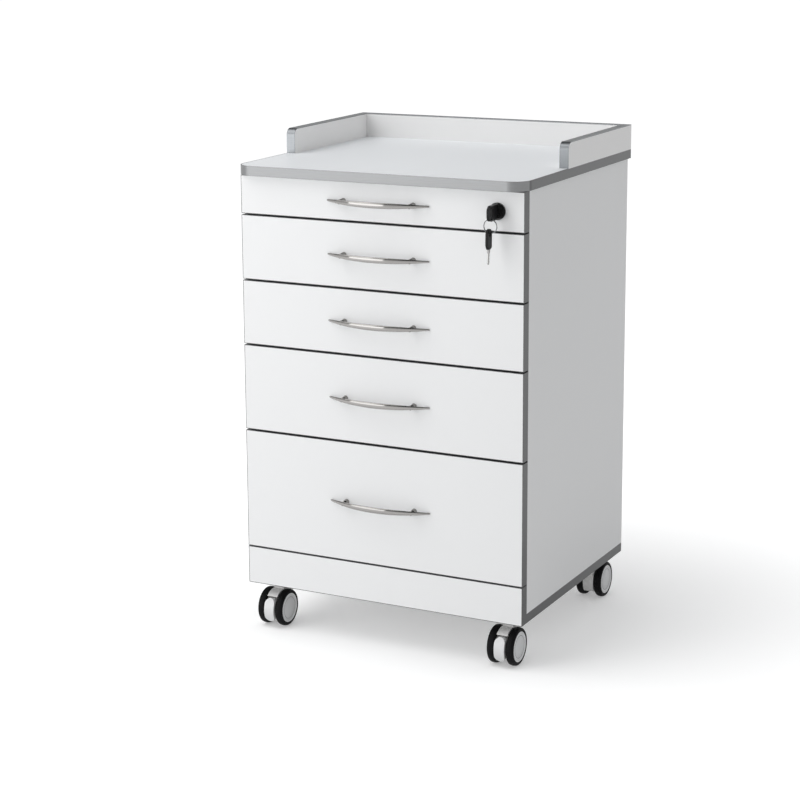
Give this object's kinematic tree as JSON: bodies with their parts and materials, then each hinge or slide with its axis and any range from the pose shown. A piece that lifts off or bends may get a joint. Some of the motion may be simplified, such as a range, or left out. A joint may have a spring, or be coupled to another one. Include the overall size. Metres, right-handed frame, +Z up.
{
  "type": "mobile dental drawer cabinet",
  "caption": "Mobile laminate drawer cabinet with a gallery round the worktop, bow handles, a keyed cam lock, telescopic runners and swivel casters with brakes.",
  "frame": {"origin": "on the floor, below the middle of the whole object's box", "axes": "+Z up, the drawer fronts face -Y, +X to the right of someone facing them"},
  "size_m": [0.53, 0.491, 0.859],
  "materials": {
    "white_laminate": "satin white melamine laminate",
    "drawer_laminate": "satin pale grey-white melamine laminate",
    "worktop_laminate": "fine-grained white laminate",
    "grey_edging": "brushed silver-grey edge band",
    "silver_edging": "brushed silver edge band",
    "brushed_nickel": "brushed nickel plate",
    "zinc_steel": "bright zinc-plated steel",
    "screw_steel": "zinc-plated screws",
    "black_lock": "black lacquered zinc",
    "lock_metal": "nickel-plated",
    "key_black": "moulded black plastic with a steel blade",
    "ring_steel": "polished spring steel",
    "caster_grey": "moulded pale grey plastic",
    "pedal_white": "moulded white plastic",
    "wheel_black": "black rubber tyre on a pale grey core"
  },
  "bodies": {
    "root": {"side_panel_left": "white_laminate", "side_panel_right": "white_laminate", "back_panel": "white_laminate", "bottom_board": "white_laminate", "top_rails": "white_laminate", "plinth_panel": "white_laminate", "worktop": "worktop_laminate", "worktop_edging": "silver_edging", "gallery_left": "white_laminate", "gallery_right": "white_laminate", "gallery_back": "white_laminate", "panel_edging": "grey_edging", "carcass_screws": "screw_steel", "caster_plates": "zinc_steel", "runner_cabinet_members": "zinc_steel"},
    "drawer_1": {"drawer_1_front": "white_laminate", "drawer_1_box": "drawer_laminate", "drawer_1_handle": "brushed_nickel", "drawer_1_runner_members": "zinc_steel", "lock_barrel": "black_lock"},
    "runner_1": {"runner_1_middle_members": "zinc_steel"},
    "drawer_2": {"drawer_2_front": "white_laminate", "drawer_2_box": "drawer_laminate", "drawer_2_handle": "brushed_nickel", "drawer_2_runner_members": "zinc_steel"},
    "runner_2": {"runner_2_middle_members": "zinc_steel"},
    "drawer_3": {"drawer_3_front": "white_laminate", "drawer_3_box": "drawer_laminate", "drawer_3_handle": "brushed_nickel", "drawer_3_runner_members": "zinc_steel"},
    "runner_3": {"runner_3_middle_members": "zinc_steel"},
    "drawer_4": {"drawer_4_front": "white_laminate", "drawer_4_box": "drawer_laminate", "drawer_4_handle": "brushed_nickel", "drawer_4_runner_members": "zinc_steel"},
    "runner_4": {"runner_4_middle_members": "zinc_steel"},
    "drawer_5": {"drawer_5_front": "white_laminate", "drawer_5_box": "drawer_laminate", "drawer_5_handle": "brushed_nickel", "drawer_5_runner_members": "zinc_steel"},
    "runner_5": {"runner_5_middle_members": "zinc_steel"},
    "lock_key": {"lock_plug": "lock_metal", "lock_cam": "lock_metal", "key": "key_black"},
    "key_ring": {"key_ring": "ring_steel"},
    "caster_front_left": {"caster_front_left_housing": "caster_grey"},
    "caster_front_left_wheel_left": {"caster_front_left_wheel_left": "wheel_black"},
    "caster_front_left_wheel_right": {"caster_front_left_wheel_right": "wheel_black"},
    "caster_front_left_brake_pedal": {"caster_front_left_brake_pedal": "pedal_white"},
    "caster_front_right": {"caster_front_right_housing": "caster_grey"},
    "caster_front_right_wheel_left": {"caster_front_right_wheel_left": "wheel_black"},
    "caster_front_right_wheel_right": {"caster_front_right_wheel_right": "wheel_black"},
    "caster_front_right_brake_pedal": {"caster_front_right_brake_pedal": "pedal_white"},
    "caster_rear_left": {"caster_rear_left_housing": "caster_grey"},
    "caster_rear_left_wheel_left": {"caster_rear_left_wheel_left": "wheel_black"},
    "caster_rear_left_wheel_right": {"caster_rear_left_wheel_right": "wheel_black"},
    "caster_rear_right": {"caster_rear_right_housing": "caster_grey"},
    "caster_rear_right_wheel_left": {"caster_rear_right_wheel_left": "wheel_black"},
    "caster_rear_right_wheel_right": {"caster_rear_right_wheel_right": "wheel_black"}
  },
  "joints": [
    {"name": "drawer_1_slide", "type": "slide", "parent": "root", "child": "drawer_1", "axis": [0, -1, 0], "range_m": [0, 0.33]},
    {"name": "runner_1_slide", "type": "slide", "parent": "root", "child": "runner_1", "axis": [0, -1, 0], "range_m": [0, 0.165]},
    {"name": "drawer_2_slide", "type": "slide", "parent": "root", "child": "drawer_2", "axis": [0, -1, 0], "range_m": [0, 0.33]},
    {"name": "runner_2_slide", "type": "slide", "parent": "root", "child": "runner_2", "axis": [0, -1, 0], "range_m": [0, 0.165]},
    {"name": "drawer_3_slide", "type": "slide", "parent": "root", "child": "drawer_3", "axis": [0, -1, 0], "range_m": [0, 0.33]},
    {"name": "runner_3_slide", "type": "slide", "parent": "root", "child": "runner_3", "axis": [0, -1, 0], "range_m": [0, 0.165]},
    {"name": "drawer_4_slide", "type": "slide", "parent": "root", "child": "drawer_4", "axis": [0, -1, 0], "range_m": [0, 0.33]},
    {"name": "runner_4_slide", "type": "slide", "parent": "root", "child": "runner_4", "axis": [0, -1, 0], "range_m": [0, 0.165]},
    {"name": "drawer_5_slide", "type": "slide", "parent": "root", "child": "drawer_5", "axis": [0, -1, 0], "range_m": [0, 0.33]},
    {"name": "runner_5_slide", "type": "slide", "parent": "root", "child": "runner_5", "axis": [0, -1, 0], "range_m": [0, 0.165]},
    {"name": "key_turn", "type": "hinge", "parent": "drawer_1", "child": "lock_key", "pos_m": [0.2135, -0.208, 0.766], "axis": [0, -1, 0], "range_deg": [-90, 0]},
    {"name": "key_ring_swing", "type": "hinge", "parent": "lock_key", "child": "key_ring", "pos_m": [0.2135, -0.236, 0.7569], "axis": [1, 0, 0], "range_deg": [-60, 20]},
    {"name": "caster_front_left_swivel", "type": "hinge", "parent": "root", "child": "caster_front_left", "pos_m": [-0.22, -0.158, 0.0665], "axis": [0, 0, 1], "continuous": true},
    {"name": "caster_front_left_wheel_left_spin", "type": "hinge", "parent": "caster_front_left", "child": "caster_front_left_wheel_left", "pos_m": [-0.22, -0.178, 0.0325], "axis": [1, 0, 0], "continuous": true},
    {"name": "caster_front_left_wheel_right_spin", "type": "hinge", "parent": "caster_front_left", "child": "caster_front_left_wheel_right", "pos_m": [-0.22, -0.178, 0.0325], "axis": [1, 0, 0], "continuous": true},
    {"name": "caster_front_left_brake", "type": "hinge", "parent": "caster_front_left", "child": "caster_front_left_brake_pedal", "pos_m": [-0.22, -0.2019, 0.04802], "axis": [1, 0, 0], "range_deg": [0, 8]},
    {"name": "caster_front_right_swivel", "type": "hinge", "parent": "root", "child": "caster_front_right", "pos_m": [0.22, -0.158, 0.0665], "axis": [0, 0, 1], "continuous": true},
    {"name": "caster_front_right_wheel_left_spin", "type": "hinge", "parent": "caster_front_right", "child": "caster_front_right_wheel_left", "pos_m": [0.22, -0.178, 0.0325], "axis": [1, 0, 0], "continuous": true},
    {"name": "caster_front_right_wheel_right_spin", "type": "hinge", "parent": "caster_front_right", "child": "caster_front_right_wheel_right", "pos_m": [0.22, -0.178, 0.0325], "axis": [1, 0, 0], "continuous": true},
    {"name": "caster_front_right_brake", "type": "hinge", "parent": "caster_front_right", "child": "caster_front_right_brake_pedal", "pos_m": [0.22, -0.2019, 0.04802], "axis": [1, 0, 0], "range_deg": [0, 8]},
    {"name": "caster_rear_left_swivel", "type": "hinge", "parent": "root", "child": "caster_rear_left", "pos_m": [-0.22, 0.193, 0.0665], "axis": [0, 0, 1], "continuous": true},
    {"name": "caster_rear_left_wheel_left_spin", "type": "hinge", "parent": "caster_rear_left", "child": "caster_rear_left_wheel_left", "pos_m": [-0.22, 0.213, 0.0325], "axis": [1, 0, 0], "continuous": true},
    {"name": "caster_rear_left_wheel_right_spin", "type": "hinge", "parent": "caster_rear_left", "child": "caster_rear_left_wheel_right", "pos_m": [-0.22, 0.213, 0.0325], "axis": [1, 0, 0], "continuous": true},
    {"name": "caster_rear_right_swivel", "type": "hinge", "parent": "root", "child": "caster_rear_right", "pos_m": [0.22, 0.193, 0.0665], "axis": [0, 0, 1], "continuous": true},
    {"name": "caster_rear_right_wheel_left_spin", "type": "hinge", "parent": "caster_rear_right", "child": "caster_rear_right_wheel_left", "pos_m": [0.22, 0.213, 0.0325], "axis": [1, 0, 0], "continuous": true},
    {"name": "caster_rear_right_wheel_right_spin", "type": "hinge", "parent": "caster_rear_right", "child": "caster_rear_right_wheel_right", "pos_m": [0.22, 0.213, 0.0325], "axis": [1, 0, 0], "continuous": true}
  ],
  "couplings": [
    {"joint": "runner_1_slide", "follows": "drawer_1_slide", "ratio": 0.5},
    {"joint": "runner_2_slide", "follows": "drawer_2_slide", "ratio": 0.5},
    {"joint": "runner_3_slide", "follows": "drawer_3_slide", "ratio": 0.5},
    {"joint": "runner_4_slide", "follows": "drawer_4_slide", "ratio": 0.5},
    {"joint": "runner_5_slide", "follows": "drawer_5_slide", "ratio": 0.5}
  ]
}
